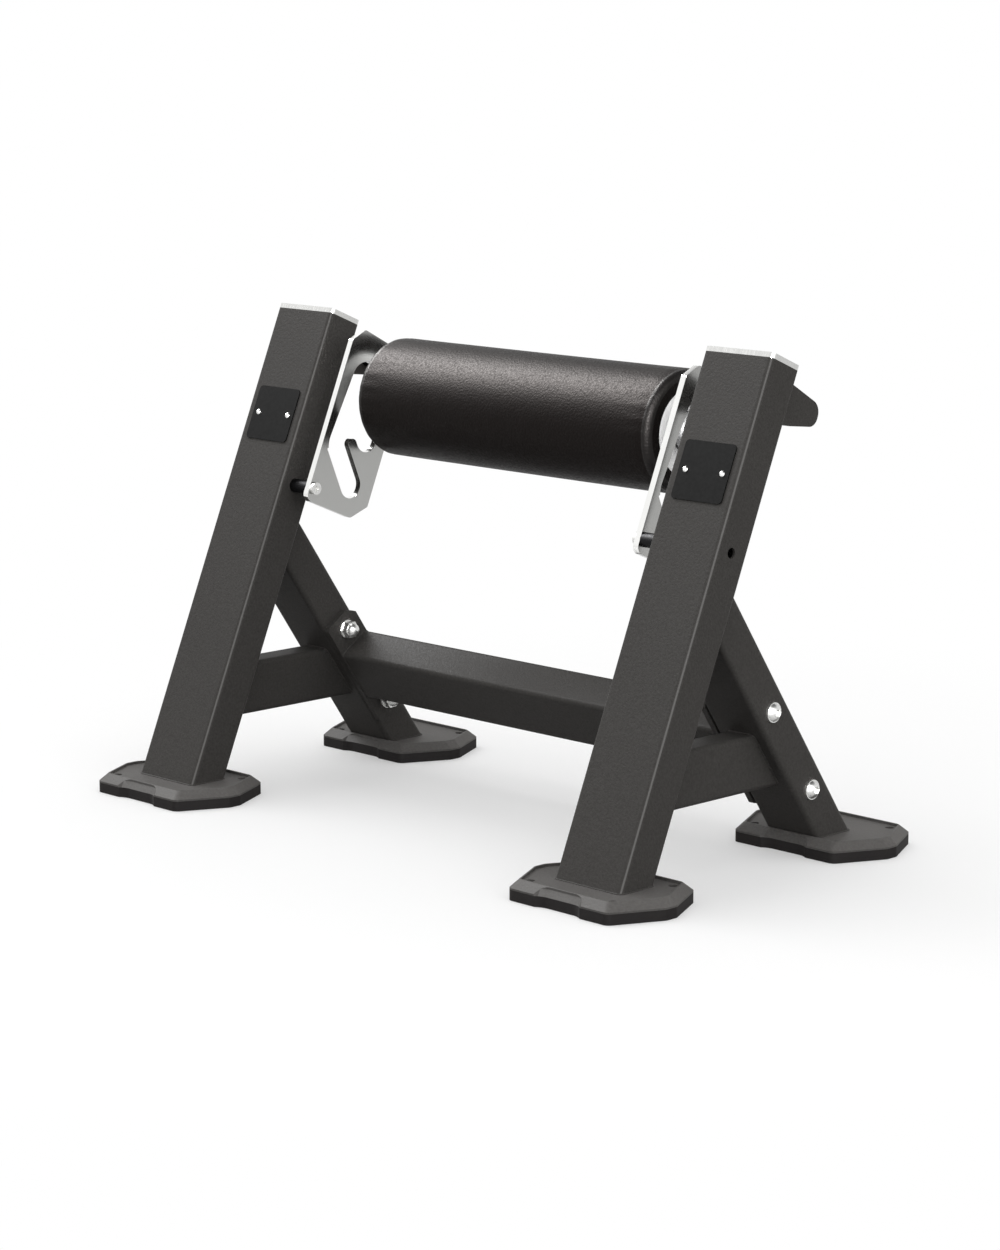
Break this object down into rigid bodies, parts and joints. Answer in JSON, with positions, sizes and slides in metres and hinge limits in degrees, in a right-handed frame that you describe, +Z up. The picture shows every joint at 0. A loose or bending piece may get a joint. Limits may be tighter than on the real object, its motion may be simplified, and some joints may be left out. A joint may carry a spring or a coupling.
{
  "type": "bulgarian split squat bench",
  "caption": "Low split squat bench: leaning tube legs with braced feet, and a padded spinning roller that hooks into slotted ladder plates to set its height.",
  "frame": {"origin": "on the floor, at the middle of the footprint", "axes": "+X to the right side of the bench, along the roller; +Y to the rear, away from the badge plates; +Z up"},
  "size_m": [0.924, 0.5078, 0.5851],
  "materials": {
    "powder_coat": "satin",
    "foot_rubber": "matte",
    "cap_chrome": "polished",
    "zinc_fastener": "satin",
    "polished_plate": "polished",
    "black_spacer": "satin",
    "badge_black": "satin",
    "rivet_aluminium": "satin",
    "axle_steel": "satin",
    "collar_steel": "satin",
    "black_screw": "satin",
    "plug_plastic": "matte",
    "bush_plastic": "matte",
    "disc_chrome": "polished",
    "core_steel": "satin",
    "foam": "matte",
    "cover_vinyl": "satin"
  },
  "bodies": {
    "frame": {"left_leg": "powder_coat", "right_leg": "powder_coat", "left_brace": "powder_coat", "right_brace": "powder_coat", "left_side_tube": "powder_coat", "right_side_tube": "powder_coat", "crossbar": "powder_coat", "left_crossbar_flange": "powder_coat", "right_crossbar_flange": "powder_coat", "left_rear_arm": "powder_coat", "right_rear_arm": "powder_coat", "front_left_foot_plate": "powder_coat", "front_right_foot_plate": "powder_coat", "rear_left_foot_plate": "powder_coat", "rear_right_foot_plate": "powder_coat", "front_left_foot_pad": "foot_rubber", "front_right_foot_pad": "foot_rubber", "rear_left_foot_pad": "foot_rubber", "rear_right_foot_pad": "foot_rubber", "left_top_cap": "cap_chrome", "right_top_cap": "cap_chrome", "crossbar_bolts": "zinc_fastener", "crossbar_washers": "zinc_fastener", "crossbar_cap_nuts": "zinc_fastener", "ladder_bolts": "zinc_fastener", "ladder_nuts": "zinc_fastener", "left_ladder_plate": "polished_plate", "right_ladder_plate": "polished_plate", "ladder_spacers": "black_spacer", "left_badge_plate": "badge_black", "right_badge_plate": "badge_black", "badge_rivets": "rivet_aluminium"},
    "axle_set": {"axle": "axle_steel", "axle_end_plugs": "plug_plastic", "axle_outer_collars": "collar_steel", "axle_inner_collars": "collar_steel", "collar_screws": "black_screw"},
    "roller": {"left_roller_bush": "bush_plastic", "right_roller_bush": "bush_plastic", "left_roller_end_disc": "disc_chrome", "right_roller_end_disc": "disc_chrome", "roller_core_tube": "core_steel", "roller_foam": "foam", "roller_cover": "cover_vinyl"}
  },
  "joints": [
    {"name": "axle_lift", "type": "slide", "parent": "frame", "child": "axle_set", "axis": [0, -0.3778, 0.9259], "range_m": [0, 0.0205]},
    {"name": "roller_spin", "type": "hinge", "parent": "axle_set", "child": "roller", "pos_m": [0, 0.07842, 0.47729], "axis": [1, 0, 0], "continuous": true}
  ]
}
